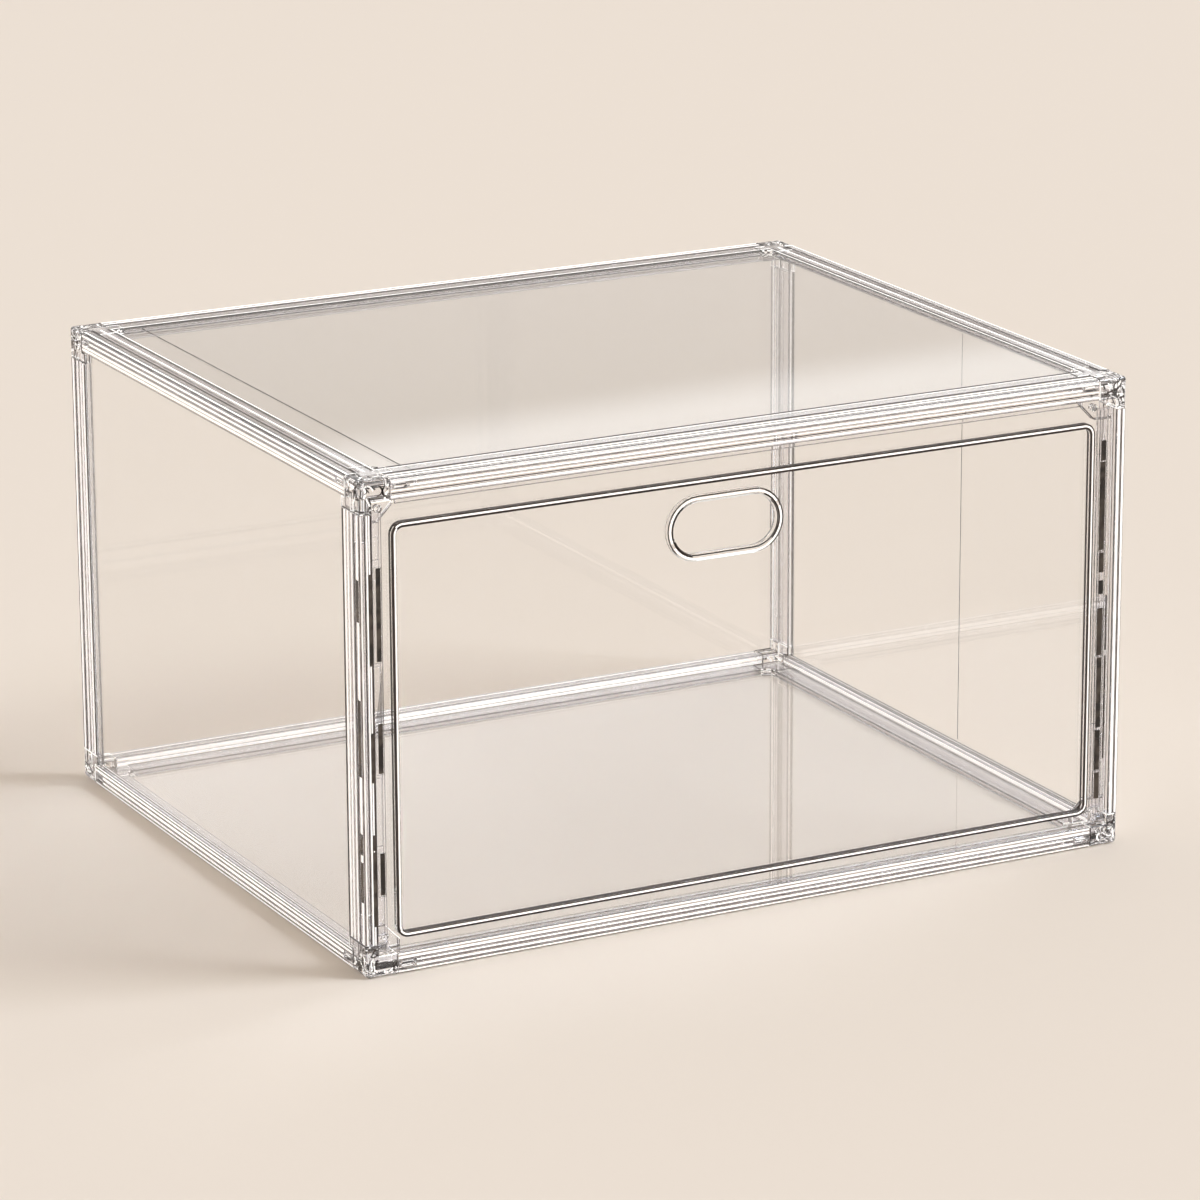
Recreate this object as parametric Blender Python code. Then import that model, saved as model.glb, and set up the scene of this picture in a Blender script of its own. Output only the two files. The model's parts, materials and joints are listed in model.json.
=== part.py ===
"""Clear shoe storage box with a drop-down door, modelled as the kit of parts it is put together from.

Metres, +Z up. The origin is the middle of the base, on the surface the box stands on, and the door
is at the front, towards -Y. Most sizes are insets: how far a point lies inside the outer face of the
box nearest to it, written u across the width, v across the depth and w across the height.
"""

import math

import bmesh
import bpy
from mathutils import Matrix, Vector

# Overall size
box_width = 0.360
box_depth = 0.300
box_height = 0.209

# Clearance between pieces, and how far a cutter or a joined shape runs past a face
seat_gap = 0.0003
overrun = 0.0004
same_place = 0.0000004

# Sheets that close the sides, and the thin walls that hold their edges
sheet_thickness = 0.0022
skin = 0.0009
sheet_groove_depth = 0.0025
side_engagement = 0.0022

# Sections of the frame
edge_radius = 0.0016
rail_height = 0.0090
body_depth = 0.0088
post_step = 0.0006
rail_fin_reach = 0.0080
side_fin_reach = 0.0090
bore_wall = 0.0011
bore_roof = 0.0020
edge_segments = 4
corner_softness = 0.00035
soften_reach_share = 0.45
thin_softness = 0.00022
bore_softness = 0.0012
softness_segments = 3

# Corner connectors
corner_arm = 0.0136
tongue_length = 0.0126
plate_fillet_radius = 0.0050
plate_fillet_segments = 6
gusset_thickness = 0.0032
gusset_width = 0.0130
gusset_flat = 0.0034
gusset_height = 0.0104
gusset_slope = 0.0068
gusset_hole_radius = 0.0014
snap_window_length = 0.0066
snap_window_height = 0.0022
snap_setback = 0.0016
snap_sink = 0.0002

# Stop rib under the front top rail, close behind the door
stop_thickness = 0.0012
stop_drop = 0.0035

# Score lines across the top sheet and the right sheet
score_width = 0.0007
score_depth = 0.0005
top_score_from_left = 0.0280
right_score_from_front = 0.1300

# Door leaf
door_setback = 0.0042
leaf_thickness = 0.0018
leaf_edge_gap = 0.0004
lip_inset = 0.0145
lip_below_top = 0.0097
lip_above_bottom = 0.0052
lip_width = 0.0024
lip_front_height = 0.0026
lip_corner_radius = 0.0040
lip_round = 0.0003
rim_front_height = 0.0010
rim_back_height = 0.0010
rim_round = 0.0009

# Finger hole in the leaf
finger_hole_width = 0.0515
finger_hole_height = 0.0250
finger_hole_off_centre = -0.0125
finger_hole_below_top = 0.0312
finger_bead_width = 0.0032

# Stiles clipped on the leaf's side edges
stile_spine = 0.0013
stile_front_wall = 0.0007
stile_back_wall = 0.0009
stile_wing = 0.0041
stile_top_drop = 0.0050
window_margin = 0.0004
front_window_shares = ((0.128, 0.230), (0.408, 0.527), (0.662, 0.878))
back_window_shares = ((0.241, 0.397), (0.538, 0.651), (0.891, 0.942))

# Pivot of the door
axis_inset = 0.0034
knuckle_radius = 0.0022
knuckle_height = 0.0068
pin_radius = 0.0010
pin_length = 0.0088
pin_end_wall = 0.0013
pivot_segments = 16

# Sizes that follow from those above
groove_width = sheet_thickness + 2 * seat_gap
fin_pair = groove_width + 2 * skin
post_width = fin_pair + post_step
groove_end = skin + groove_width
rail_fin_end = body_depth + rail_fin_reach
side_fin_end = post_width + side_fin_reach
member_start = corner_arm + seat_gap
x_fin_start = side_fin_end + plate_fillet_radius + seat_gap
y_fin_start = rail_fin_end + plate_fillet_radius + seat_gap
bore_floor = rail_height - sheet_groove_depth - bore_wall
opening_height = box_height - 2 * rail_height
leaf_back = door_setback + leaf_thickness
stop_front = leaf_back + leaf_edge_gap
stop_back = stop_front + stop_thickness
stile_front = door_setback - seat_gap - stile_front_wall
stile_back = leaf_back + seat_gap + stile_back_wall
stile_outer = post_width + leaf_edge_gap
stile_inner = stile_outer + stile_spine + stile_wing
leaf_side = stile_outer + stile_spine + seat_gap
leaf_bottom = rail_height + leaf_edge_gap
leaf_top = box_height - rail_height - seat_gap
axis_height = leaf_bottom + knuckle_radius
axis_y = axis_inset - box_depth / 2
stile_top = leaf_top - stile_top_drop
pin_bore_radius = pin_radius + seat_gap
gusset_reach = post_width + gusset_width
gusset_hole_centre = (post_width + gusset_width / 2, rail_height + gusset_height / 2)
bore_centre = (bore_roof + bore_floor) / 2
snap_centre = corner_arm + snap_setback + snap_window_length / 2
foot_swing = math.hypot(stile_back - axis_inset, knuckle_radius)
gusset_inset = axis_inset + foot_swing + seat_gap

# Colours
clear_frame_colour = (0.93, 0.94, 0.95, 1.0)
clear_sheet_colour = (0.96, 0.96, 0.97, 1.0)
clear_ior = 1.49


def empty_the_scene():
    """Remove every object that the file opened with."""
    for item in list(bpy.data.objects):
        bpy.data.objects.remove(item, do_unlink=True)


def clear_plastic(name, colour, roughness):
    """A see-through Principled material."""
    material = bpy.data.materials.new(name + "_plastic")
    material.use_nodes = True
    shader = material.node_tree.nodes["Principled BSDF"]
    shader.inputs["Base Color"].default_value = colour
    shader.inputs["Roughness"].default_value = roughness
    shader.inputs["Metallic"].default_value = 0.0
    shader.inputs["IOR"].default_value = clear_ior
    shader.inputs["Transmission Weight"].default_value = 1.0
    return material


def finish(item, colour, roughness):
    """Give a piece its material, and its round faces smooth shading."""
    item.data.materials.clear()
    item.data.materials.append(clear_plastic(item.name, colour, roughness))
    item.data.shade_smooth()
    item.data.set_sharp_from_angle(angle=math.radians(40))
    return item


def add_object(name, bm):
    """Turn a bmesh into an object with its faces pointing out."""
    bmesh.ops.remove_doubles(bm, verts=bm.verts, dist=same_place)
    bmesh.ops.recalc_face_normals(bm, faces=bm.faces)
    mesh = bpy.data.meshes.new(name)
    bm.to_mesh(mesh)
    bm.free()
    item = bpy.data.objects.new(name, mesh)
    bpy.context.scene.collection.objects.link(item)
    return item


def prism(name, outlines, axis, low, high):
    """Extrude flat outlines along an axis. The first is the outside, and the others are holes.

    Each outline is a list of pairs: the two coordinates that the axis leaves, in X, Y, Z order.
    """
    bm = bmesh.new()
    caps = ([], [])
    for outline in outlines:
        rings = []
        for level in (low, high):
            ring = []
            for first, second in outline:
                place = [first, second]
                place.insert(axis, level)
                ring.append(bm.verts.new(place))
            rings.append(ring)
        count = len(outline)
        for index in range(count):
            after = (index + 1) % count
            bm.faces.new((rings[0][index], rings[0][after], rings[1][after], rings[1][index]))
            for ring, cap in zip(rings, caps):
                cap.append(bm.edges.get((ring[index], ring[after])))
    for cap in caps:
        if len(outlines) > 1:
            bmesh.ops.triangle_fill(bm, use_beauty=True, use_dissolve=False, edges=cap)
        else:
            bmesh.ops.contextual_create(bm, geom=cap)
    return add_object(name, bm)


def block(name, low, high):
    """A box between two corners."""
    outline = [(low[0], low[1]), (high[0], low[1]), (high[0], high[1]), (low[0], high[1])]
    return prism(name, [outline], 2, low[2], high[2])


def rod(name, centre, radius, start, end):
    """A round bar along X, given by the Y and Z of its centre line."""
    turn = 2 * math.pi / pivot_segments
    outline = [(centre[0] + radius * math.cos(turn * step), centre[1] + radius * math.sin(turn * step))
               for step in range(pivot_segments)]
    return prism(name, [outline], 0, start, end)


def combine(target, tool, operation):
    """Cut, join or intersect a piece with a tool, which stays in the file as a wire guide."""
    tool.hide_render = True
    tool.display_type = "WIRE"
    step = target.modifiers.new(tool.name, "BOOLEAN")
    step.operation = operation
    step.solver = "EXACT"
    step.object = tool
    return target


def settle(item):
    """Replace a piece's mesh by what its modifiers make of it, and drop the tools they used."""
    tools = [step.object for step in item.modifiers]
    depsgraph = bpy.context.evaluated_depsgraph_get()
    result = bpy.data.meshes.new_from_object(item.evaluated_get(depsgraph))
    item.modifiers.clear()
    item.data = result
    for tool in tools:
        bpy.data.objects.remove(tool, do_unlink=True)
    return item


def rounded_outline(centre, half_width, half_height, radius, segments):
    """A rectangle with round corners, as points, each place once."""
    points = []
    corners = ((1, 1, 0), (-1, 1, 1), (-1, -1, 2), (1, -1, 3))
    for side, level, quarter in corners:
        middle = (centre[0] + side * (half_width - radius), centre[1] + level * (half_height - radius))
        for step in range(segments + 1):
            angle = math.pi / 2 * (quarter + step / segments)
            point = (middle[0] + radius * math.cos(angle), middle[1] + radius * math.sin(angle))
            if not points or math.dist(point, points[-1]) > same_place:
                points.append(point)
    if math.dist(points[0], points[-1]) <= same_place:
        points.pop()
    return points


def bead(name, centre, half_width, half_height, radius, width, front, back, softness, segments):
    """A rounded bar that runs round a rectangle or a slot in the XZ plane and closes on itself."""
    middle_y = (front + back) / 2
    section = rounded_outline((0, middle_y), width / 2, (back - front) / 2, softness, softness_segments)
    bm = bmesh.new()
    loops = []
    for offset, depth in section:
        path = rounded_outline(centre, half_width + offset, half_height + offset, radius + offset, segments)
        loops.append([bm.verts.new((x, depth, z)) for x, z in path])
    for index, loop in enumerate(loops):
        other = loops[(index + 1) % len(loops)]
        for step in range(len(loop)):
            after = (step + 1) % len(loop)
            bm.faces.new((loop[step], loop[after], other[after], other[step]))
    return add_object(name, bm)


def soften(points, softness):
    """Round the square corners of an outline, as far as the sides beside each one leave room."""
    rounded = []
    for index, point in enumerate(points):
        here = Vector(point)
        before = Vector(points[index - 1]) - here
        after = Vector(points[(index + 1) % len(points)]) - here
        turn = before.angle(-after)
        if turn < math.radians(45):
            rounded.append(tuple(here))
            continue
        room = min(before.length, after.length) * soften_reach_share
        reach = min(softness * math.tan(turn / 2), room)
        start = here + before.normalized() * reach
        end = here + after.normalized() * reach
        for step in range(softness_segments + 1):
            share = step / softness_segments
            rounded.append(tuple(start.lerp(here, share).lerp(here.lerp(end, share), share)))
    return rounded


def edge_arc():
    """The rounded outer edge of a frame piece, from its top face round to its side face."""
    points = []
    for step in range(edge_segments + 1):
        angle = math.pi / 2 * step / edge_segments
        points.append((edge_radius * (1 - math.sin(angle)), edge_radius * (1 - math.cos(angle))))
    return points


def rail_outline(body, reach, grooved, stopped):
    """Section of a rail: inset from its side face, then inset from its top or bottom face."""
    points = edge_arc()
    points.append((0, rail_height))
    if grooved:
        points.append((skin, rail_height))
        points.append((skin, rail_height - sheet_groove_depth))
        points.append((groove_end, rail_height - sheet_groove_depth))
        points.append((groove_end, rail_height))
    if stopped:
        points.append((stop_front, rail_height))
        points.append((stop_front, rail_height + stop_drop))
        points.append((stop_back, rail_height + stop_drop))
        points.append((stop_back, rail_height))
    points.append((body, rail_height))
    points.append((body, fin_pair))
    points.append((body + reach, fin_pair))
    points.append((body + reach, groove_end))
    points.append((body, groove_end))
    points.append((body, skin))
    points.append((body + reach, skin))
    points.append((body + reach, 0))
    return soften(points, corner_softness)


def post_outline(grooved):
    """Section of a post: inset from its side face, then inset from its front or back face."""
    points = edge_arc()
    points.append((0, rail_fin_end))
    points.append((skin, rail_fin_end))
    points.append((skin, body_depth))
    points.append((groove_end, body_depth))
    points.append((groove_end, rail_fin_end))
    points.append((fin_pair, rail_fin_end))
    points.append((fin_pair, body_depth))
    points.append((post_width, body_depth))
    if grooved:
        points.append((post_width, groove_end))
        points.append((post_width - side_engagement, groove_end))
        points.append((post_width - side_engagement, skin))
        points.append((post_width, skin))
    points.append((post_width, 0))
    return soften(points, corner_softness)


def rectangle(low_first, high_first, low_second, high_second):
    """Four corners of a rectangle."""
    return [(low_first, low_second), (high_first, low_second), (high_first, high_second),
            (low_first, high_second)]


def x_bore(shrink):
    """Hollow of the rails along the width, as depth and height insets, drawn in by shrink."""
    size = bore_floor - bore_roof
    start = (body_depth - size) / 2
    return soften(rectangle(start + shrink, start + size - shrink, bore_roof + shrink, bore_floor - shrink),
                  bore_softness - shrink)


def y_bore(shrink):
    """Hollow of the rails along the depth, as width and height insets, drawn in by shrink."""
    return soften(rectangle(bore_wall + shrink, post_width - bore_wall - shrink,
                            bore_roof + shrink, bore_floor - shrink), bore_softness - shrink)


def z_bore(shrink):
    """Hollow of the posts, as width and depth insets, drawn in by shrink."""
    return soften(rectangle(bore_wall + shrink, post_width - bore_wall - shrink,
                            groove_end + skin + shrink, body_depth - bore_wall - shrink),
                  bore_softness - shrink)


def to_x(inset, side):
    """Where a width inset lies, measured from the left face for side -1 or the right face for +1."""
    return side * (box_width / 2 - inset)


def to_y(inset, side):
    """Where a depth inset lies, measured from the front face for side -1 or the back face for +1."""
    return side * (box_depth / 2 - inset)


def to_z(inset, level):
    """Where a height inset lies, measured from the base for level -1 or the top face for +1."""
    if level > 0:
        return box_height - inset
    return inset


def ordered(first, second):
    """Two corners of a box, put in order along each axis."""
    low = [min(a, b) for a, b in zip(first, second)]
    high = [max(a, b) for a, b in zip(first, second)]
    return low, high


def make_width_rail(name, side, level):
    """A rail along the front or back, at the top or bottom."""
    grooved = side > 0
    stopped = side < 0 and level > 0
    outer = [(to_y(v, side), to_z(w, level))
             for v, w in rail_outline(body_depth, rail_fin_reach, grooved, stopped)]
    bore = [(to_y(v, side), to_z(w, level)) for v, w in x_bore(0)]
    rail = prism(name, [outer, bore], 0, to_x(member_start, -1), to_x(member_start, 1))
    for end in (-1, 1):
        low, high = ordered(
            (to_x(corner_arm, end), to_y(body_depth, side), to_z(-overrun, level)),
            (to_x(x_fin_start, end), to_y(rail_fin_end + overrun, side), to_z(fin_pair + overrun, level)))
        combine(rail, block(name + "_fin_trim", low, high), "DIFFERENCE")
        if stopped:
            low, high = ordered(
                (to_x(corner_arm, end), to_y(0, side), to_z(rail_height, level)),
                (to_x(gusset_reach + seat_gap, end), to_y(rail_fin_end, side),
                 to_z(rail_height + stop_drop + overrun, level)))
            combine(rail, block(name + "_stop_trim", low, high), "DIFFERENCE")
        window = capsule((to_x(snap_centre, end), to_z(bore_centre, level)), 0)
        depths = sorted((to_y(-overrun, side), to_y(body_depth / 2, side)))
        combine(rail, prism(name + "_window", [window], 1, *depths), "DIFFERENCE")
    return finish(settle(rail), clear_frame_colour, 0.04)


def make_depth_rail(name, side, level):
    """A rail along the left or right, at the top or bottom."""
    outer = [(to_x(u, side), to_z(w, level))
             for u, w in rail_outline(post_width, side_fin_reach, True, False)]
    bore = [(to_x(u, side), to_z(w, level)) for u, w in y_bore(0)]
    rail = prism(name, [outer, bore], 1, to_y(member_start, -1), to_y(member_start, 1))
    for end in (-1, 1):
        low, high = ordered(
            (to_x(post_width, side), to_y(corner_arm, end), to_z(-overrun, level)),
            (to_x(side_fin_end + overrun, side), to_y(y_fin_start, end), to_z(fin_pair + overrun, level)))
        combine(rail, block(name + "_fin_trim", low, high), "DIFFERENCE")
        window = capsule((to_y(snap_centre, end), to_z(bore_centre, level)), 0)
        depths = sorted((to_x(-overrun, side), to_x(post_width / 2, side)))
        combine(rail, prism(name + "_window", [window], 0, *depths), "DIFFERENCE")
    return finish(settle(rail), clear_frame_colour, 0.04)


def make_post(name, side, face):
    """An upright at the left or right, front or back."""
    outer = [(to_x(u, side), to_y(v, face)) for u, v in post_outline(face > 0)]
    bore = [(to_x(u, side), to_y(v, face)) for u, v in z_bore(0)]
    post = prism(name, [outer, bore], 2, member_start, box_height - member_start)
    return finish(post, clear_frame_colour, 0.04)


def capsule(centre, shrink):
    """Outline of a snap window in the side of a rail, drawn in by shrink."""
    half_height = snap_window_height / 2 - shrink
    return rounded_outline(centre, snap_window_length / 2 - shrink, half_height, half_height, 4)


def corner_plate_outline():
    """Outline of the plates that carry the fins round a corner, with a hollow quarter round inside."""
    points = [(0, 0), (corner_arm, 0), (corner_arm, body_depth + seat_gap)]
    points.append((side_fin_end + plate_fillet_radius, body_depth + seat_gap))
    centre = (side_fin_end + plate_fillet_radius, rail_fin_end + plate_fillet_radius)
    for step in range(plate_fillet_segments + 1):
        angle = math.pi / 2 * step / plate_fillet_segments
        points.append((centre[0] - plate_fillet_radius * math.sin(angle),
                       centre[1] - plate_fillet_radius * math.cos(angle)))
    points.append((post_width + seat_gap, rail_fin_end + plate_fillet_radius))
    points.append((post_width + seat_gap, corner_arm))
    points.append((0, corner_arm))
    return points


def corner_shape(name, door_side):
    """One connector in insets: three arms, sheet plates, tongues and, beside the door, a gusset."""
    shape = block(name, (0, 0, 0), (corner_arm, body_depth, rail_height))
    side_arm = block(name + "_side_arm", (0, 0, 0), (post_width, corner_arm, rail_height))
    combine(shape, side_arm, "UNION")
    post_arm = block(name + "_post_arm", (0, 0, 0), (post_width, body_depth, corner_arm))
    combine(shape, post_arm, "UNION")

    for start, label in ((0, "outer"), (fin_pair - skin, "inner")):
        plate = prism(name + "_plate_" + label, [corner_plate_outline()], 2, start, start + skin)
        combine(shape, plate, "UNION")
        fin = [(body_depth - overrun, rail_height - overrun), (corner_arm, rail_height - overrun),
               (corner_arm, rail_height + seat_gap), (rail_fin_end, rail_height + seat_gap),
               (rail_fin_end, corner_arm), (body_depth - overrun, corner_arm)]
        combine(shape, prism(name + "_fin_" + label, [fin], 0, start, start + skin), "UNION")

    root = corner_arm - overrun
    tip = corner_arm + tongue_length
    for axis, bore in enumerate((x_bore(seat_gap), y_bore(seat_gap), z_bore(seat_gap))):
        combine(shape, prism(name + "_tongue", [bore], axis, root, tip), "UNION")

    snap = capsule((snap_centre, bore_centre), seat_gap)
    for axis, depth in ((1, body_depth / 2), (0, post_width / 2)):
        combine(shape, prism(name + "_snap", [snap], axis, snap_sink, depth), "UNION")

    if door_side:
        low = rail_height + gusset_height
        free = post_width + leaf_edge_gap
        gusset = [(post_width - overrun, rail_height - overrun), (corner_arm, rail_height - overrun),
                  (corner_arm, rail_height + seat_gap), (gusset_reach, rail_height + seat_gap),
                  (gusset_reach, rail_height + gusset_flat), (gusset_reach - gusset_slope, low),
                  (free, low), (free, corner_arm), (post_width - overrun, corner_arm)]
        back = gusset_inset + gusset_thickness
        combine(shape, prism(name + "_gusset", [gusset], 1, gusset_inset, back), "UNION")
        ring = rounded_outline(gusset_hole_centre, *(gusset_hole_radius,) * 3, 4)
        hole = prism(name + "_gusset_hole", [ring], 1, gusset_inset - overrun, back + overrun)
        combine(shape, hole, "DIFFERENCE")

    far = corner_arm + overrun
    rim = rail_height - sheet_groove_depth
    slots = [((skin, body_depth, rim), (groove_end, far, far))]
    if not door_side:
        slots.append(((post_width - side_engagement, skin, rim), (far, groove_end, far)))
    for low, high in slots:
        combine(shape, block(name + "_slot", low, high), "DIFFERENCE")
    combine(shape, rounded_envelope(name + "_envelope"), "INTERSECT")
    return settle(shape)


def rounded_envelope(name):
    """The outside of the box at one corner in insets: three faces, their round edges and a round point."""
    reach = corner_arm + 2 * tongue_length
    bm = bmesh.new()
    bmesh.ops.create_cube(bm, size=1, matrix=Matrix.Diagonal((reach, reach, reach, 1)))
    bmesh.ops.translate(bm, verts=bm.verts, vec=Vector((reach, reach, reach)) / 2)
    point = min(bm.verts, key=lambda vert: vert.co.length)
    bmesh.ops.bevel(bm, geom=list(point.link_edges), offset=edge_radius, offset_type="OFFSET",
                    segments=edge_segments, profile=0.5, affect="EDGES")
    return add_object(name, bm)


def make_corner(name, shape, side, face, level):
    """Set a copy of a connector at one corner of the box."""
    bm = bmesh.new()
    bm.from_mesh(shape.data)
    for vert in bm.verts:
        vert.co = (to_x(vert.co.x, side), to_y(vert.co.y, face), to_z(vert.co.z, level))
    return add_object(name, bm)


def make_frame():
    """Twelve rails and posts, and the eight connectors that they plug on."""
    levels = (("bottom", -1), ("top", 1))
    faces = (("front", -1), ("back", 1))
    sides = (("left", -1), ("right", 1))
    for level_name, level in levels:
        for face_name, face in faces:
            make_width_rail(level_name + "_" + face_name + "_rail", face, level)
        for side_name, side in sides:
            make_depth_rail(level_name + "_" + side_name + "_rail", side, level)
    for face_name, face in faces:
        for side_name, side in sides:
            make_post(face_name + "_" + side_name + "_post", side, face)
    for face_name, face in faces:
        shape = corner_shape(face_name + "_corner_shape", face < 0)
        for level_name, level in levels:
            for side_name, side in sides:
                corner = make_corner(level_name + "_" + face_name + "_" + side_name + "_corner",
                                     shape, side, face, level)
                if face < 0 and level < 0:
                    hole = rod(corner.name + "_pivot_hole", (axis_y, axis_height), pin_bore_radius,
                               *sorted((to_x(pin_end_wall, side), to_x(post_width + overrun, side))))
                    combine(corner, hole, "DIFFERENCE")
                    settle(corner)
                finish(corner, clear_frame_colour, 0.04)
        bpy.data.objects.remove(shape, do_unlink=True)


def scored_edge(start, end, line, surface, inward):
    """The outer surface of a sheet's section, with a score line in it."""
    return [(start, surface), (line - score_width / 2, surface), (line, surface + inward * score_depth),
            (line + score_width / 2, surface), (end, surface)]


def make_sheets():
    """The five fixed sheets that sit in the frame's grooves."""
    outer = skin + seat_gap
    inner = outer + sheet_thickness
    side_end = box_width / 2 - post_width - seat_gap
    depth_end = box_depth / 2 - body_depth - seat_gap
    top_in = rail_height - sheet_groove_depth + seat_gap

    score_x = top_score_from_left - box_width / 2
    top = scored_edge(-side_end, side_end, score_x, box_height - outer, -1)
    top += [(side_end, box_height - inner), (-side_end, box_height - inner)]
    sheets = [prism("top_panel", [top], 1, -depth_end, depth_end)]
    sheets.append(block("bottom_panel", (-side_end, -depth_end, outer), (side_end, depth_end, inner)))

    for name, side in (("left_panel", -1), ("right_panel", 1)):
        faces = sorted((to_x(outer, side), to_x(inner, side)))
        if side < 0:
            sheets.append(block(name, (faces[0], -depth_end, top_in),
                                (faces[1], depth_end, box_height - top_in)))
            continue
        score_y = right_score_from_front - box_depth / 2
        outside = scored_edge(-depth_end, depth_end, score_y, to_x(outer, side), -1)
        section = [(x, y) for y, x in outside]
        section += [(to_x(inner, side), depth_end), (to_x(inner, side), -depth_end)]
        sheets.append(prism(name, [section], 2, top_in, box_height - top_in))

    back_side = box_width / 2 - post_width + side_engagement - seat_gap
    sheets.append(block("back_panel", (-back_side, to_y(inner, 1), top_in),
                        (back_side, to_y(outer, 1), box_height - top_in)))
    for sheet in sheets:
        finish(sheet, clear_sheet_colour, 0.02)


def make_leaf(pivot):
    """The door's sheet with its stiffening lip and its finger hole."""
    half = box_width / 2 - leaf_side
    foot_side = box_width / 2 - stile_inner - seat_gap
    foot_top = leaf_bottom + knuckle_height + seat_gap
    outline = [(-foot_side, leaf_bottom), (foot_side, leaf_bottom), (foot_side, foot_top),
               (half, foot_top), (half, leaf_top), (-half, leaf_top), (-half, foot_top),
               (-foot_side, foot_top)]
    hole_centre = (finger_hole_off_centre, leaf_top - finger_hole_below_top)
    hole_radius = finger_hole_height / 2
    hole = rounded_outline(hole_centre, finger_hole_width / 2, hole_radius, hole_radius, 8)
    leaf = prism("door_leaf", [outline], 1, to_y(door_setback, -1), to_y(leaf_back, -1))
    hole_cut = prism("door_leaf_hole", [hole], 1, to_y(door_setback - overrun, -1),
                     to_y(leaf_back + overrun, -1))
    combine(leaf, hole_cut, "DIFFERENCE")

    rim_front = to_y(door_setback - rim_front_height, -1)
    rim_back = to_y(leaf_back + rim_back_height, -1)
    rim = bead("door_leaf_finger_rim", hole_centre, finger_hole_width / 2, hole_radius, hole_radius,
               finger_bead_width, rim_front, rim_back, rim_round, 8)
    combine(leaf, rim, "UNION")
    lip_low = leaf_bottom + lip_above_bottom
    lip_high = leaf_top - lip_below_top
    lip = bead("door_leaf_lip", (0, (lip_low + lip_high) / 2), box_width / 2 - lip_inset - lip_width / 2,
               (lip_high - lip_low - lip_width) / 2, lip_corner_radius, lip_width,
               to_y(door_setback - lip_front_height, -1), to_y(leaf_back - leaf_thickness / 3, -1),
               lip_round, 5)
    combine(leaf, lip, "UNION")
    settle(leaf)
    hang(leaf, pivot)
    return finish(leaf, clear_sheet_colour, 0.03)


def knuckle_outline():
    """Side view of a stile's foot: round about the pivot in front, square behind."""
    back = to_y(stile_back, -1)
    top = leaf_bottom + knuckle_height
    points = [(back, leaf_bottom), (back, top), (to_y(stile_front, -1), top)]
    first = math.acos((stile_front - axis_inset) / knuckle_radius)
    steps = pivot_segments // 2
    for step in range(steps + 1):
        angle = first + (1.5 * math.pi - first) * step / steps
        points.append((axis_y + knuckle_radius * math.cos(angle), axis_height + knuckle_radius * math.sin(angle)))
    return points


def make_stile(name, side, pivot):
    """The strip clipped on one side edge of the leaf, with moulding windows and the pivot foot."""
    front_wall = stile_front + stile_front_wall
    back_wall = stile_back - stile_back_wall
    spine = stile_outer + stile_spine
    section = [(stile_outer, stile_front), (stile_inner, stile_front), (stile_inner, front_wall),
               (spine, front_wall), (spine, back_wall), (stile_inner, back_wall),
               (stile_inner, stile_back), (stile_outer, stile_back)]
    outline = [(to_x(u, side), to_y(v, -1)) for u, v in soften(section, thin_softness)]
    start = leaf_bottom + knuckle_height / 2
    stile = prism(name, [outline], 2, start, stile_top)
    foot = prism(name + "_foot", [knuckle_outline()], 0,
                 *sorted((to_x(stile_outer, side), to_x(stile_inner, side))))
    combine(stile, foot, "UNION")

    height = stile_top - leaf_bottom
    rows = ((front_window_shares, stile_front - overrun, front_wall + overrun / 2, "front"),
            (back_window_shares, back_wall - overrun / 2, stile_back + overrun, "back"))
    for shares, near, far, label in rows:
        for low_share, high_share in shares:
            low, high = ordered(
                (to_x(spine + window_margin, side), to_y(near, -1), leaf_bottom + height * low_share),
                (to_x(stile_inner - window_margin, side), to_y(far, -1), leaf_bottom + height * high_share))
            combine(stile, block(name + "_window_" + label, low, high), "DIFFERENCE")

    hole = rod(name + "_pivot_hole", (axis_y, axis_height), pin_bore_radius,
               *sorted((to_x(stile_outer - overrun, side), to_x(stile_inner - window_margin, side))))
    combine(stile, hole, "DIFFERENCE")
    settle(stile)
    hang(stile, pivot)
    return finish(stile, clear_frame_colour, 0.04)


def hang(item, pivot):
    """Hang a piece of the door on the empty that marks the pivot axis, where it already is."""
    item.parent = pivot
    item.matrix_parent_inverse = Matrix.Translation(-pivot.location)


def make_door():
    """The leaf and its two stiles, all on the pivot axis along the bottom."""
    pivot = bpy.data.objects.new("door_pivot", None)
    pivot.location = (0, axis_y, axis_height)
    pivot.empty_display_size = knuckle_radius
    bpy.context.scene.collection.objects.link(pivot)
    make_leaf(pivot)
    make_stile("door_left_stile", -1, pivot)
    make_stile("door_right_stile", 1, pivot)


def make_pins():
    """The two pins that the door turns on, each half in a corner connector and half in a stile."""
    for name, side in (("left_hinge_pin", -1), ("right_hinge_pin", 1)):
        start = pin_end_wall + seat_gap
        ends = sorted((to_x(start, side), to_x(start + pin_length - 2 * seat_gap, side)))
        pin = rod(name, (axis_y, axis_height), pin_radius, *ends)
        finish(pin, clear_frame_colour, 0.05)


empty_the_scene()
make_frame()
make_sheets()
make_door()
make_pins()
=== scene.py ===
"""Clear shoe storage box: looks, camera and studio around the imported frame."""

import json
import math
import random

import bmesh
import bpy
from mathutils import Matrix, Vector


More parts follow.
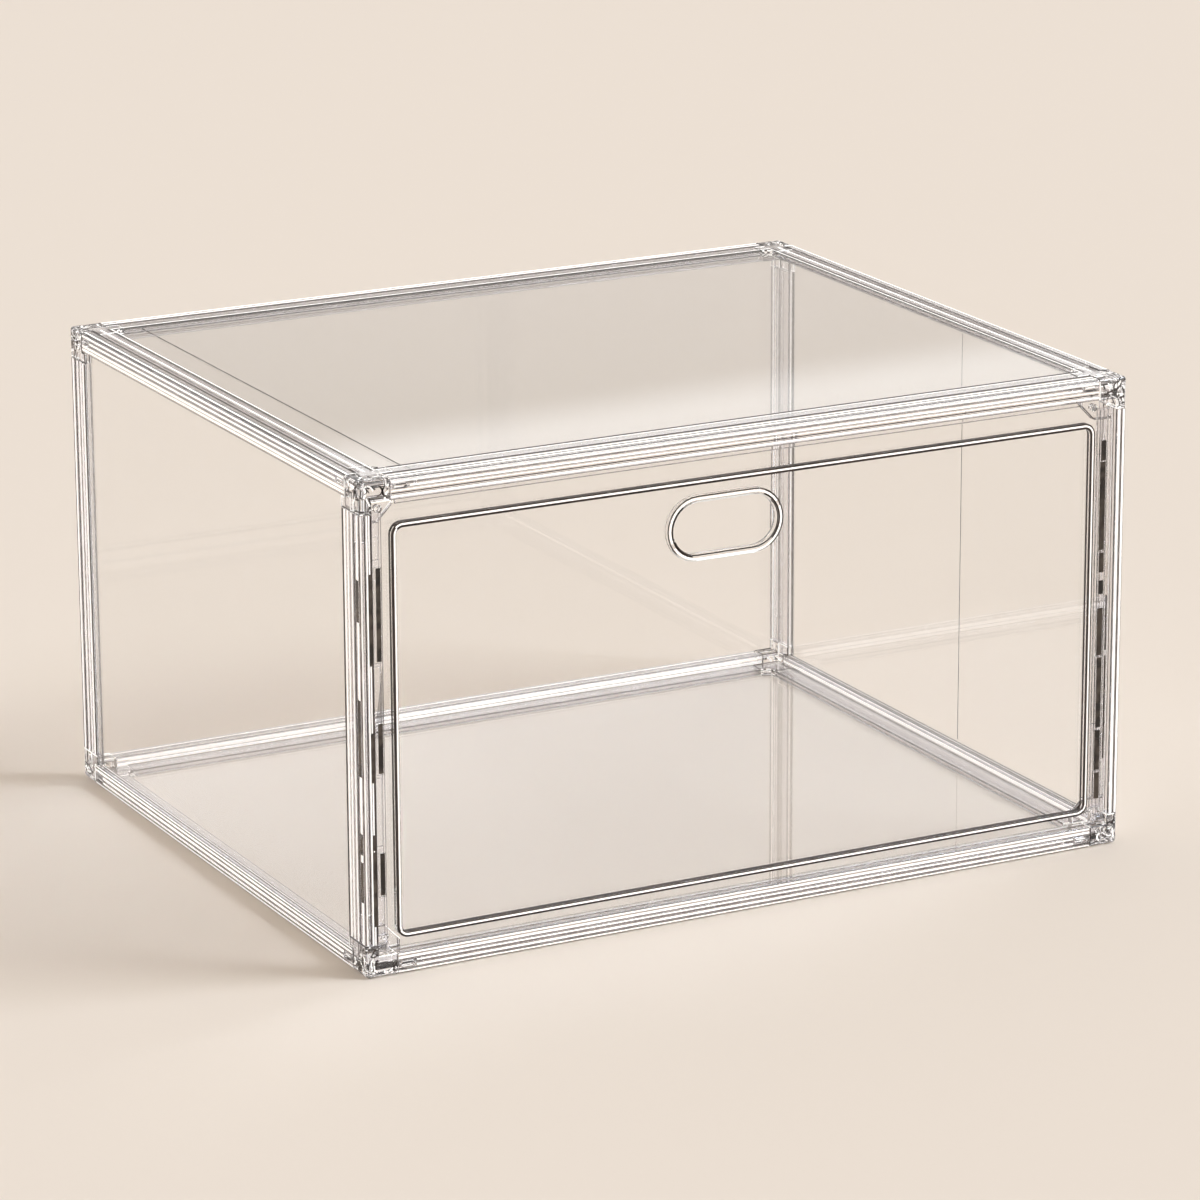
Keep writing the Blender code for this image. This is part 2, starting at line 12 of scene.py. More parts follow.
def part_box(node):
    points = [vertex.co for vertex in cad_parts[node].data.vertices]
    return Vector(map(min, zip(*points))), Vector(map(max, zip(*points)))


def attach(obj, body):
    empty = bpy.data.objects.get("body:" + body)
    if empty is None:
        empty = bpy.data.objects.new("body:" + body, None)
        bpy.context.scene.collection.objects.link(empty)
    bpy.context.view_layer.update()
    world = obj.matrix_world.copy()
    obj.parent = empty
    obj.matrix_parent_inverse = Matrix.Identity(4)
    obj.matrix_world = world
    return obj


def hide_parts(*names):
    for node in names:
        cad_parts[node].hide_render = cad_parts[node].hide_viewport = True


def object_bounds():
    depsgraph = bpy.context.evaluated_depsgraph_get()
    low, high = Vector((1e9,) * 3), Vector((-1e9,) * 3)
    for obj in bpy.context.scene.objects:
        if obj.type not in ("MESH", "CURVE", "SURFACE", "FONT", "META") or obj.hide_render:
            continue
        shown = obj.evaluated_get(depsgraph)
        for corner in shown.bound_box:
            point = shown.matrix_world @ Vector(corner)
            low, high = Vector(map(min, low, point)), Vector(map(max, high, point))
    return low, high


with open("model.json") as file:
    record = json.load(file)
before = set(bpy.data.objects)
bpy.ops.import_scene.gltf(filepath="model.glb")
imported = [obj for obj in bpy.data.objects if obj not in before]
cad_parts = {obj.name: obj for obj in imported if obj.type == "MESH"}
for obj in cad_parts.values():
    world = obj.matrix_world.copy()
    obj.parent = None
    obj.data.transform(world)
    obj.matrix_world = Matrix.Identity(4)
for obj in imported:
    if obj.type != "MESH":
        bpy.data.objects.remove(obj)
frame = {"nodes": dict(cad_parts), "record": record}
cad_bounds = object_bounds()

# Camera, fitted to the photograph's eight corners
CAMERA_PLACE = (-1.05588, -2.03647, 0.77452)
CAMERA_AZIMUTH = -27.526
CAMERA_ELEVATION = 16.471
CAMERA_ROLL = -0.275
CAMERA_LENS = 163.563
SENSOR_WIDTH = 36.0
CAMERA_REACH = 50

# How far light is followed through the clear plates
LIGHT_STEPS = 40
MIRROR_STEPS = 24

# Axis and sign of each side of the box
SIDES = {"left": (0, -1), "right": (0, 1), "front": (1, -1), "back": (1, 1), "bottom": (2, -1), "top": (2, 1)}

# The clear copies: the distance at which points are one, the angles below which faces are one plane and
# above which an edge is sharp, and the width from which a face is kept flat
WELD = 0.000005
FLAT_ANGLE = 0.5
SHARP_ANGLE = 35
BROAD_FACE = 0.0008

# Painted shade on narrow strips round edges: the layer that says how darkly a face is painted, the width of a
# strip and the share of the plastic's tint that it keeps
EDGE_SHADE_LAYER = "painted_edge_shade"
STRIP_WIDTH = 0.0004
STRIP_PAINTED_SHADE = 0.3

# Plastics: name, tint, share of clear light, height and scale of the ripples, least and most
# roughness, tint in depth and how dense it is
CLEAR_IOR = 1.49
FRAME_PLASTIC = ("frame_plastic", (0.99, 0.985, 1.0), 0.97, 0.01, 60, (0.0, 0.015), (0.30, 0.28, 0.36), 3)
SHEET_PLASTIC = ("sheet_plastic", (0.99, 0.99, 0.99), 1, 0.004, 12, (0.0, 0.01), (0.30, 0.30, 0.33), 3)
POLISH_RANGE = (0.3, 0.75)
POLISH_DETAIL = 3.0
RIPPLE_SPREAD = 3
RIPPLE_DETAIL = 1.0
RIPPLE_HEIGHT = 0.001

# Paints of the drawn lines, which are painted shade and painted highlights: darkest and palest colour along a
# line, and roughness. Then the noise that mixes the two colours, and how strongly the highlight and cream
# lines glow, a painted light in place of light led through the plastic
TONE_PAINTS = {
    "painted_shade": ((0.010, 0.004, 0.003), (0.042, 0.024, 0.018), 0.35),
    "grey": ((0.11, 0.085, 0.075), (0.31, 0.265, 0.24), 0.3),
    "painted_highlight": ((0.90, 0.87, 0.84), (0.98, 0.96, 0.93), 0.5),
    "cream": ((0.50, 0.44, 0.39), (0.62, 0.55, 0.49), 0.5),
    "painted_window_shade": ((0.010, 0.007, 0.006), (0.10, 0.078, 0.062), 0.2),
}
LINE_NOISE_SCALE = 120.0
LINE_NOISE_DETAIL = 2.0
LINE_NOISE_RANGE = (0.35, 0.65)
PAINTED_GLOW = {"painted_highlight": 0.6, "cream": 0.2}

# Fine lines: the members' edge radius, how far a line stands proud of a surface, how deep it goes and how
# far it stops short of the member's end, or of its snap windows, which lie in a band of insets. Then the
# depth up to the inner face of a rail along the width, of one along the depth and of a post
EDGE_RADIUS = 0.0016
LINE_PROUD = 0.00003
LINE_SUNK = 0.00007
LINE_END = 0.0003
SNAP_BAND = (0.0022, 0.0052)
SNAP_REACH = 0.0085
BODY_DEPTHS = (0.0088, 0.0052, 0)

# The tones, then the lines of painted shade and painted highlight along the rails and posts: face, inset from
# the member's outer edge, width and tone. A rail's side is its upright face; a post's side faces left or
# right
LINE_TONES = ("painted_shade", "grey", "painted_highlight", "cream")
SHADE_LINE, GREY, HIGHLIGHT_LINE = (LINE_TONES.index(tone) for tone in ("painted_shade", "grey", "painted_highlight"))
TOP_WIDTH_LINES = (
    ("flat", 0.0022, 0.0012, "painted_highlight"), ("flat", 0.0036, 0.0005, "grey"), ("flat", 0.0050, 0.0010, "painted_highlight"),
    ("flat", 0.0076, 0.0018, "painted_shade"), ("flat", 0.0146, 0.0008, "painted_highlight"), ("flat", 0.0160, 0.0016, "painted_shade"),
    ("side", 0.0005, 0.0004, "painted_shade"), ("side", 0.0017, 0.0006, "painted_highlight"), ("side", 0.0027, 0.0003, "grey"),
    ("side", 0.0038, 0.0008, "painted_highlight"), ("side", 0.0054, 0.0004, "painted_highlight"), ("side", 0.0064, 0.0004, "painted_shade"),
    ("side", 0.0077, 0.0008, "painted_highlight"), ("side", 0.0088, 0.0003, "grey"),
)
BOTTOM_WIDTH_LINES = (
    ("side", 0.0002, 0.0003, "painted_shade"), ("side", 0.0009, 0.0007, "painted_highlight"), ("side", 0.0019, 0.0003, "grey"),
    ("side", 0.0029, 0.0008, "painted_highlight"), ("side", 0.0041, 0.0003, "grey"), ("side", 0.0050, 0.0006, "painted_highlight"),
    ("side", 0.0060, 0.0003, "grey"), ("side", 0.0069, 0.0009, "painted_highlight"), ("side", 0.0084, 0.0007, "painted_highlight"),
    ("inner", 0.0055, 0.0012, "painted_highlight"), ("inner", 0.0076, 0.0010, "painted_highlight"),
)
TOP_DEPTH_LINES = (
    ("flat", 0.0015, 0.0008, "painted_highlight"), ("flat", 0.0049, 0.0009, "painted_shade"), ("flat", 0.0069, 0.0007, "grey"),
    ("flat", 0.0090, 0.0008, "painted_highlight"), ("flat", 0.0125, 0.0009, "painted_shade"), ("flat", 0.0137, 0.0005, "painted_highlight"),
    ("side", 0.0003, 0.0004, "painted_shade"), ("side", 0.0014, 0.0008, "painted_highlight"), ("side", 0.0026, 0.0003, "grey"),
    ("side", 0.0036, 0.0008, "painted_highlight"), ("side", 0.0048, 0.0004, "painted_shade"), ("side", 0.0060, 0.0009, "painted_highlight"),
    ("side", 0.0075, 0.0008, "painted_highlight"), ("side", 0.0086, 0.0003, "grey"),
)
BOTTOM_DEPTH_LINES = (
    ("side", 0.0002, 0.0003, "painted_shade"), ("side", 0.0010, 0.0008, "painted_highlight"), ("side", 0.0019, 0.0003, "grey"),
    ("side", 0.0028, 0.0008, "painted_highlight"), ("side", 0.0037, 0.0004, "grey"), ("side", 0.0050, 0.0011, "painted_highlight"),
    ("side", 0.0061, 0.0003, "grey"), ("side", 0.0070, 0.0008, "painted_highlight"), ("side", 0.0079, 0.0004, "painted_shade"),
    ("side", 0.0086, 0.0005, "painted_highlight"), ("inner", 0.0060, 0.0009, "painted_highlight"),
)
LEFT_POST_LINES = (
    ("side", 0.0009, 0.0006, "grey"), ("side", 0.0028, 0.0015, "painted_highlight"), ("side", 0.0056, 0.0009, "painted_shade"),
    ("side", 0.0077, 0.0010, "painted_highlight"), ("side", 0.0095, 0.0004, "grey"), ("side", 0.0112, 0.0009, "painted_highlight"),
    ("side", 0.0142, 0.0012, "painted_highlight"), ("side", 0.0159, 0.0013, "painted_shade"),
    ("flat", 0.0006, 0.0005, "painted_highlight"), ("flat", 0.0021, 0.0005, "painted_shade"), ("flat", 0.0031, 0.0005, "painted_highlight"),
    ("flat", 0.0041, 0.0004, "painted_highlight"), ("flat", 0.0049, 0.0006, "painted_shade"),
)
RIGHT_POST_LINES = (
    ("side", 0.0026, 0.0012, "painted_highlight"), ("side", 0.0056, 0.0008, "grey"), ("side", 0.0142, 0.0010, "painted_highlight"),
    ("side", 0.0159, 0.0010, "painted_shade"), ("flat", 0.0002, 0.0004, "painted_shade"), ("flat", 0.0014, 0.0010, "painted_highlight"),
    ("flat", 0.0026, 0.0003, "grey"), ("flat", 0.0037, 0.0012, "painted_highlight"), ("flat", 0.0050, 0.0003, "painted_shade"),
)
RAIL_LINES = {("top", True): TOP_WIDTH_LINES, ("bottom", True): BOTTOM_WIDTH_LINES,
              ("top", False): TOP_DEPTH_LINES, ("bottom", False): BOTTOM_DEPTH_LINES}

# Curls of light and shade on the connectors' outer faces: how many on each arm of a face, how many of
# them are dark out of how many, their width and length, how far they bend, in degrees, their margin to
# the face's edge, and the length of an arm and its width by the axis across it
CURL_SEED = 11
CURLS = 10
DARK_CURLS = (3, 5)
CURL_WIDTH = (0.0004, 0.0009)
CURL_LENGTH = (0.002, 0.0055)
CURL_BEND = 150
CURL_STEPS = 6
CURL_MARGIN = 0.0017
CORNER_ARM = 0.0132
ARM_WIDTHS = (0.0050, 0.0086, 0.0088)

# Lines of painted shade and painted highlight along the connectors' sharp edges: the shortest edge that has
# one, their width, the share of painted shade
EDGE_SHORTEST = 0.0005
EDGE_WIDTH = 0.00045
EDGE_SHADE_SHARE = 0.55

# Lines of painted shade and painted highlight on the door's lip. First the outline of its outer edge:
# opposite corners as x and z, radius, least radius and steps of a corner, and how far past the diagonal a
# point still counts as top or bottom. Then the depths of its face and its flanks, and for each line the inset
# of its middle from the outer edge, its depths, its width, the sides that it runs along and its tone
LIP_LOW = (-0.1655, 0.0146)
LIP_HIGH = (0.1655, 0.1900)
LIP_RADIUS = 0.0052
LIP_LEAST_RADIUS = 0.0005
LIP_STEPS = 6
LIP_DIAGONAL = 0.01
LIP_FACE = (-0.14843, -0.14833)
LIP_FLANK = (-0.14810, -0.14595)
LIP_LINES = (
    (0.00060, LIP_FACE, 0.0011, ("left",), "painted_shade"),
    (0.00155, LIP_FACE, 0.0006, ("left",), "painted_highlight"),
    (-0.00002, LIP_FLANK, 0.0001, ("top",), "painted_shade"),
    (0.00030, LIP_FACE, 0.0005, ("top", "right"), "painted_shade"),
    (0.00100, LIP_FACE, 0.0007, ("top",), "painted_highlight"),
    (0.00188, LIP_FACE, 0.0009, ("top", "right"), "painted_shade"),
    (0.00100, LIP_FACE, 0.0006, ("right",), "painted_highlight"),
    (0.00242, (-0.14700, -0.14590), 0.0001, ("right",), "painted_shade"),
    (0.00242, LIP_FLANK, 0.0001, ("bottom",), "painted_shade"),
    (0.00125, LIP_FACE, 0.0007, ("bottom",), "painted_highlight"),
    (0.00200, LIP_FACE, 0.0004, ("bottom",), "painted_shade"),
    (0.00045, LIP_FACE, 0.0008, ("bottom",), "painted_shade"),
)

# Lines of painted shade and painted highlight round the finger hole's bead: its middle, half length between
# its round ends and radius; then for each line the offset from the bead's middle, width, depth, where it is
# drawn (direction and reach), tone
FINGER_HOLE = (-0.0125, 0.1685, 0.01325, 0.0125)
FINGER_STEPS = 16
FINGER_LINES = (
    (-0.0012, 0.0005, -0.14663, (0.5, -0.87, -0.2), "painted_shade"),
    (0.0012, 0.0005, -0.14663, (-0.5, 0.87, -0.2), "painted_shade"),
    (0.0003, 0.0008, -0.14683, (-0.5, 0.87, 0.1), "painted_highlight"),
    (0.0003, 0.0008, -0.14683, (0.5, -0.87, 0.1), "painted_highlight"),
    (-0.0006, 0.0007, -0.14680, (-0.97, -0.2, 0.45), "painted_shade"),
    (-0.0006, 0.0007, -0.14680, (0.97, 0.2, 0.55), "painted_shade"),
    (0.0011, 0.0006, -0.14672, (0.97, 0.1, 0.45), "painted_shade"),
)

# Score lines, painted shade at the bottom of the grooves: sheet, axis and place across it, depth axis with
# the line's top and bottom, run axis, width
SCORES = (
    ("right_panel", (1, -0.0200), (0, 0.17860, 0.17850), 2, 0.0005),
    ("top_panel", (0, -0.1520), (2, 0.20760, 0.20750), 1, 0.0006),
)
SCORE_END = 0.004

# Painted shade: dark bars in the stiles' windows, where these look dark: piece, side, then for each row the
# inset of its middle, its width, its depth and its heights
WINDOW_SPANS = ((0.0336, 0.0516), (0.0855, 0.1066), (0.1326, 0.1716))
FRONT_SPANS = ((0.0220, 0.0540), (0.0545, 0.0612), (0.0833, 0.1043), (0.1324, 0.1706))
WINDOW_SHADE_BARS = (
    ("door_left_stile_painted_shade", -1, (
        (0.0094, 0.0020, -0.1465, WINDOW_SPANS),
        (0.0063, 0.0010, -0.14683, FRONT_SPANS),
    )),
    ("door_right_stile_painted_shade", 1, (
        (0.0090, 0.0026, -0.1465, WINDOW_SPANS),
        (0.0090, 0.0024, -0.14683, ((0.0207, 0.0325), (0.0530, 0.0845), (0.1130, 0.1191), (0.1227, 0.1315),
                                    (0.1722, 0.1812))),
        (0.0061, 0.0007, -0.14683, ((0.0385, 0.0850), (0.0875, 0.1124))),
    )),
)
# Painted shade bars on the left post, where the stile's windows show dark through it: face, inset, width,
# heights
POST_SHADE_BARS = (
    ("flat", 0.0042, 0.0015, FRONT_SPANS),
    ("side", 0.0032, 0.0024, ((0.0321, 0.0494), (0.0525, 0.0615), (0.0856, 0.1180), (0.1505, 0.1681))),
)
SHADE_BAR_PROUD = 0.00005
SHADE_BAR_DEPTH = 0.00015

# The paper floor under the box
FLOOR_HALF = 8
FLOOR_CELLS = 8
FLOOR_DROP = 0.0002
FLOOR_COLOUR = (0.735, 0.65, 0.565, 1)
FLOOR_ROUGHNESS = 0.9

# Studio dome, from the first layer to the last that covers it: name, then the panel's azimuth
# clockwise from the back, elevation, half width, half height and tilt in degrees and its edge's
# softness, then its light
STUDIO = (
    ("surround", None, (0.38, 0.355, 0.32)),
    ("backdrop", (30, 0, 75, 14.5, 0, 0.03), (0.60, 0.55, 0.51)),
    ("reflector", (30, 42.15, 60, 27.7, -10.24, 0.004), (0.96, 0.94, 0.92)),
    ("overhead", (30, 75, 50, 32, 0, 0.06), (0.98, 0.89, 0.79)),
    ("left_softbox", (-80, 35, 22, 20, 0, 0.03), (0.8, 0.8, 0.83)),
    ("right_softbox", (118, 42, 12, 13, 0, 0.03), (11.5, 12.5, 13.8)),
    ("front_flag", (195, 20, 24, 30, 0, 0.03), (0.03, 0.03, 0.03)),
)


def node(tree, kind, **values):
    """Add a shader node, setting its inputs by name."""
    made = tree.nodes.new(kind)
    for name, value in values.items():
        made.inputs[name.replace("_", " ")].default_value = value
    return made


def make_camera():
    """The camera at the photograph's place and angle."""
    azimuth = math.radians(CAMERA_AZIMUTH)
    elevation = math.radians(CAMERA_ELEVATION)
    back = Vector((math.sin(azimuth) * math.cos(elevation), -math.cos(azimuth) * math.cos(elevation),
                   math.sin(elevation)))
    right = Vector((0, 0, 1)).cross(back).normalized()
    up = back.cross(right)
    roll = math.radians(CAMERA_ROLL)
    right, up = (right * math.cos(roll) + up * math.sin(roll), up * math.cos(roll) - right * math.sin(roll))
    data = bpy.data.cameras.new("camera")
    data.lens = CAMERA_LENS
    data.sensor_width = SENSOR_WIDTH
    data.clip_end = CAMERA_REACH
    camera = bpy.data.objects.new("camera", data)
    camera.matrix_world = Matrix.Translation(CAMERA_PLACE) @ Matrix((right, up, back)).transposed().to_4x4()
    bpy.context.scene.collection.objects.link(camera)
    bpy.context.scene.camera = camera


def clear_plastic(name, tint, clear_share, ripple, ripple_scale, haze, depth_tint, density):
    """Polished clear plastic with faint moulding ripples, uneven polish and painted shade on its edge strips.
    """
    material = bpy.data.materials.new(name)
    material.use_nodes = True
    tree = material.node_tree
    shader = tree.nodes["Principled BSDF"]
    # Painted shade: the darker colour of the edge strips multiplies the plastic's tint
    edge_shade = tree.nodes.new("ShaderNodeVertexColor")
    edge_shade.layer_name = EDGE_SHADE_LAYER
    colour = node(tree, "ShaderNodeMix")
    colour.data_type = "RGBA"
    colour.blend_type = "MULTIPLY"
    colour.inputs[0].default_value = 1
    colour.inputs[6].default_value = (*tint, 1)
    tree.links.new(edge_shade.outputs["Color"], colour.inputs[7])
    tree.links.new(colour.outputs[2], shader.inputs["Base Color"])
    shader.inputs["IOR"].default_value = CLEAR_IOR
    shader.inputs["Transmission Weight"].default_value = clear_share
    place = tree.nodes.new("ShaderNodeTexCoord")
    polish = node(tree, "ShaderNodeTexNoise", Scale=ripple_scale, Detail=POLISH_DETAIL)
    tree.links.new(place.outputs["Object"], polish.inputs["Vector"])
    spread = node(tree, "ShaderNodeMapRange")
    for socket, value in zip(("From Min", "From Max", "To Min", "To Max"), POLISH_RANGE + haze):
        spread.inputs[socket].default_value = value
    tree.links.new(polish.outputs["Fac"], spread.inputs["Value"])
    tree.links.new(spread.outputs["Result"], shader.inputs["Roughness"])
    wave = node(tree, "ShaderNodeTexNoise", Scale=ripple_scale / RIPPLE_SPREAD, Detail=RIPPLE_DETAIL)
    tree.links.new(place.outputs["Object"], wave.inputs["Vector"])
    bump = node(tree, "ShaderNodeBump", Strength=ripple, Distance=RIPPLE_HEIGHT)
    tree.links.new(wave.outputs["Fac"], bump.inputs["Height"])
    tree.links.new(bump.outputs["Normal"], shader.inputs["Normal"])
    depth = node(tree, "ShaderNodeVolumeAbsorption", Color=(*depth_tint, 1), Density=density)
    tree.links.new(depth.outputs["Volume"], tree.nodes["Material Output"].inputs["Volume"])
    return material


def body_name(node_name):
    """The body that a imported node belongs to."""
    for body, nodes in frame["record"]["behaviour"]["bodies"].items():
        if node_name in nodes:
            return body
    return None


def paint_edge_shade(bm):
    """Write painted shade into the mesh: narrow strips round edges are painted darker."""
    layer = bm.loops.layers.float_color.new(EDGE_SHADE_LAYER)
    for face in bm.faces:
        longest = max(edge.calc_length() for edge in face.edges)
        tone = STRIP_PAINTED_SHADE if face.calc_area() / longest < STRIP_WIDTH else 1.0
        for loop in face.loops:
            loop[layer] = (tone, tone, tone, 1)


def smooth_rounds(mesh):
    """Shade round surfaces smoothly and keep every broad face perfectly flat."""
    mesh.shade_smooth()
    faces = mesh.polygons
    widths = []
    around = [[] for _ in mesh.vertices]
    for face in faces:
        corners = [mesh.vertices[index].co for index in face.vertices]
        longest = max((corners[index] - corners[index - 1]).length for index in range(len(corners)))
        widths.append(face.area / longest)
        for index in face.vertices:
            around[index].append(face.index)
    limit = math.cos(math.radians(SHARP_ANGLE))
    normals = [None] * len(mesh.loops)
    for face in faces:
        for loop, vertex in zip(face.loop_indices, face.vertices):
            normal = face.normal
            if widths[face.index] < BROAD_FACE:
                near = [faces[index] for index in around[vertex]
                        if faces[index].normal.dot(face.normal) > limit]
                broad = max(near, key=lambda other: widths[other.index])
                if widths[broad.index] >= BROAD_FACE:
                    normal = broad.normal
                else:
                    normal = sum((other.normal * other.area for other in near), Vector()).normalized()
            normals[loop] = tuple(normal)
    mesh.normals_split_custom_set(normals)


def whole_faces(source):
    """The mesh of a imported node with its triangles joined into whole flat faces."""
    bm = bmesh.new()
    bm.from_mesh(source.data)
    bmesh.ops.remove_doubles(bm, verts=bm.verts, dist=WELD)
    bmesh.ops.dissolve_limit(bm, angle_limit=math.radians(FLAT_ANGLE), verts=bm.verts, edges=bm.edges)
    return bm


def polished_copy(name, source):
    """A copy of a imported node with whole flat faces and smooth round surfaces."""
    bm = whole_faces(source)
    paint_edge_shade(bm)
    mesh = bpy.data.meshes.new(name)
    bm.to_mesh(mesh)
    bm.free()
    smooth_rounds(mesh)
    item = bpy.data.objects.new(name, mesh)
    bpy.context.scene.collection.objects.link(item)
    return item


def dress_frame():
    """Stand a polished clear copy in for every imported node."""
    frame_plastic = clear_plastic(*FRAME_PLASTIC)
    sheet_plastic = clear_plastic(*SHEET_PLASTIC)
    for name, source in frame["nodes"].items():
        sheet = name.endswith("_panel") or name == "door_leaf"
        piece = polished_copy("clear_" + name, source)
        piece.data.materials.append(sheet_plastic if sheet else frame_plastic)
        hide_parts(name)
        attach(piece, body_name(name))


def line_material(tone):
    """One of the paints of the fine lines, painted shade or painted highlight, uneven along the line."""
    dark, light, gloss = TONE_PAINTS[tone]
    material = bpy.data.materials.new("line_" + tone)
    material.use_nodes = True
    tree = material.node_tree
    shader = tree.nodes["Principled BSDF"]
    shader.inputs["Roughness"].default_value = gloss
    place = tree.nodes.new("ShaderNodeTexCoord")
    cloud = node(tree, "ShaderNodeTexNoise", Scale=LINE_NOISE_SCALE, Detail=LINE_NOISE_DETAIL)
    tree.links.new(place.outputs["Object"], cloud.inputs["Vector"])
    mix = tree.nodes.new("ShaderNodeMix")
    mix.data_type = "RGBA"
    mix.inputs[6].default_value = (*dark, 1)
    mix.inputs[7].default_value = (*light, 1)
    tree.links.new(step(tree, cloud.outputs["Fac"], *LINE_NOISE_RANGE), mix.inputs[0])
    tree.links.new(mix.outputs[2], shader.inputs["Base Color"])
    # The highlight and cream lines glow: painted light
    if tone in PAINTED_GLOW:
        shader.inputs["Emission Color"].default_value = (*light, 1)
        shader.inputs["Emission Strength"].default_value = PAINTED_GLOW[tone]
    return material


def section_spot(face, inset, body):
    """A point on a member's section, as its insets from its side and its flat face, and the way it faces.

    The body is how deep the member is up to its inner face.
    """
    turn = math.acos(max(1 - inset / EDGE_RADIUS, 0))
    spot = Vector((EDGE_RADIUS * (1 - math.sin(turn)), inset))
    facing = Vector((-math.sin(turn), -math.cos(turn)))
    if face == "flat":
        return spot.yx, facing.yx
    if face == "inner":
        return Vector((body, inset)), Vector((1, 0))
    return spot, facing


def member_place(words, run, insets):
    """The place of a section point of a rail or post at a given run along it."""
    place = [run, run, run]
    for word, inset in zip((words[1], words[0]), insets):
        axis, sign = SIDES[word]
        place[axis] = cad_bounds[sign > 0][axis] - sign * inset
    return place


def bar(bm, sections, tone):
    """A closed bar through a run of four-point sections."""
    loops = [[bm.verts.new(place) for place in section] for section in sections]
    faces = [loops[0], loops[-1]]
    for first, second in zip(loops, loops[1:]):
        for index in range(4):
            faces.append((first[index - 1], first[index], second[index], second[index - 1]))
    for corners in faces:
        bm.faces.new(corners).material_index = tone


def add_piece(name, bm, materials, body):
    """Make a piece of a finished mesh, with its faces turned outward, and let it ride on a body."""
    bmesh.ops.recalc_face_normals(bm, faces=bm.faces)
    mesh = bpy.data.meshes.new(name)
    bm.to_mesh(mesh)
    bm.free()
    for material in materials:
        mesh.materials.append(material)
    piece = bpy.data.objects.new(name, mesh)
    bpy.context.scene.collection.objects.link(piece)
    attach(piece, body)


def surface_bar(bm, name, face, inset, width, span, proud, tone):
    """A bar along a rail or post, sunk in its surface and a little proud of it."""
    words = name.split("_")
    along = run_axis(name)
    spot, facing = section_spot(face, inset, BODY_DEPTHS[along])
    across = Vector((-facing.y, facing.x)) * width / 2
    outside = spot + facing * proud
    inside = spot - facing * LINE_SUNK
    corners = (outside - across, outside + across, inside + across, inside - across)
    bar(bm, [[member_place(words, run, point) for point in corners] for run in span], tone)


def run_axis(name):
    """The axis that a rail or post runs along."""
    words = name.split("_")
    return 3 - SIDES[words[0]][0] - SIDES[words[1]][0]


def draw_member_lines(name, lines, line_paints):
    """The fine lines of painted shade and painted highlight along a rail or post, between its corner
    connectors and clear of its snap windows.

    The front rail's inner ones are cream, a painted glow, because they are seen in the gaps between its outer
    ones.
    """
    along = run_axis(name)
    low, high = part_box(name)
    bm = bmesh.new()
    for face, inset, width, tone in lines:
        if face == "inner" and "front" in name:
            tone = "cream"
        crossing = name.endswith("rail") and face == "side" and SNAP_BAND[0] < inset < SNAP_BAND[1]
        margin = SNAP_REACH if crossing else LINE_END
        span = (low[along] + margin, high[along] - margin)
        surface_bar(bm, name, face, inset, width, span, LINE_PROUD, LINE_TONES.index(tone))
    add_piece(name + "_lines", bm, line_paints, "case")


def draw_curl(bm, pick, spot_of, room, tone):
    """One bent line on a face, drawn from a random place until it is long enough or leaves the face."""
    place = [pick.uniform(CURL_MARGIN, reach) for reach in room]
    heading = math.radians(pick.uniform(0, 360))
    length = pick.uniform(*CURL_LENGTH)
    bend = math.radians(pick.uniform(-CURL_BEND, CURL_BEND))
    half = pick.uniform(*CURL_WIDTH) / 2
    sections = []
    for _ in range(CURL_STEPS + 1):
        if not all(CURL_MARGIN <= value <= reach for value, reach in zip(place, room)):
            break
        aside = (-math.sin(heading) * half, math.cos(heading) * half)
        edges = [(place[0] + sign * aside[0], place[1] + sign * aside[1]) for sign in (1, -1)]
        sections.append([spot_of(*edges[0], -LINE_PROUD), spot_of(*edges[1], -LINE_PROUD),
                         spot_of(*edges[1], LINE_SUNK), spot_of(*edges[0], LINE_SUNK)])
        place = [place[0] + math.cos(heading) * length / CURL_STEPS,
                 place[1] + math.sin(heading) * length / CURL_STEPS]
        heading += bend / CURL_STEPS
    if len(sections) > 1:
        bar(bm, sections, tone)


def draw_connector_edges(name, line_paints, pick):
    """Lines of painted highlight and painted shade along the sharp edges of a connector, inside the rails and
    posts too.
    """
    source = whole_faces(frame["nodes"][name])
    bm = bmesh.new()
    for edge in source.edges:
        if len(edge.link_faces) != 2 or edge.calc_length() < EDGE_SHORTEST:
            continue
        if edge.calc_face_angle() < math.radians(SHARP_ANGLE):
            continue
        first, second = (vert.co for vert in edge.verts)
        out = (edge.link_faces[0].normal + edge.link_faces[1].normal).normalized()
        across = (second - first).cross(out).normalized() * EDGE_WIDTH / 2
        under = out * LINE_SUNK * 2
        bar(bm, [[end + across, end - across, end - across - under, end + across - under]
                 for end in (first + out * LINE_PROUD, second + out * LINE_PROUD)],
            SHADE_LINE if pick.random() < EDGE_SHADE_SHARE else HIGHLIGHT_LINE)
    source.free()
    add_piece(name + "_edge_lines", bm, line_paints, "case")


def draw_corner_curls(name, line_paints, pick):
    """The bright and dark curls that a connector's inner walls throw on its three outer faces."""
    signs = {SIDES[word][0]: SIDES[word][1] for word in name.split("_")[:3]}
    bm = bmesh.new()
    for facing in range(3):
        for along in range(3):
            if along == facing:
                continue
            across = 3 - facing - along

            def spot_of(run, width, sunk):
                """The place of a point on the face, from its insets along, across and into it."""
                place = [0, 0, 0]
                for axis, inset in ((along, run), (across, width), (facing, sunk)):
                    place[axis] = cad_bounds[signs[axis] > 0][axis] - signs[axis] * inset
                return place

            for count in range(CURLS):
                tone = SHADE_LINE if count % DARK_CURLS[1] < DARK_CURLS[0] else HIGHLIGHT_LINE
                draw_curl(bm, pick, spot_of, (CORNER_ARM, ARM_WIDTHS[across]), tone)
    add_piece(name + "_curls", bm, line_paints, "case")


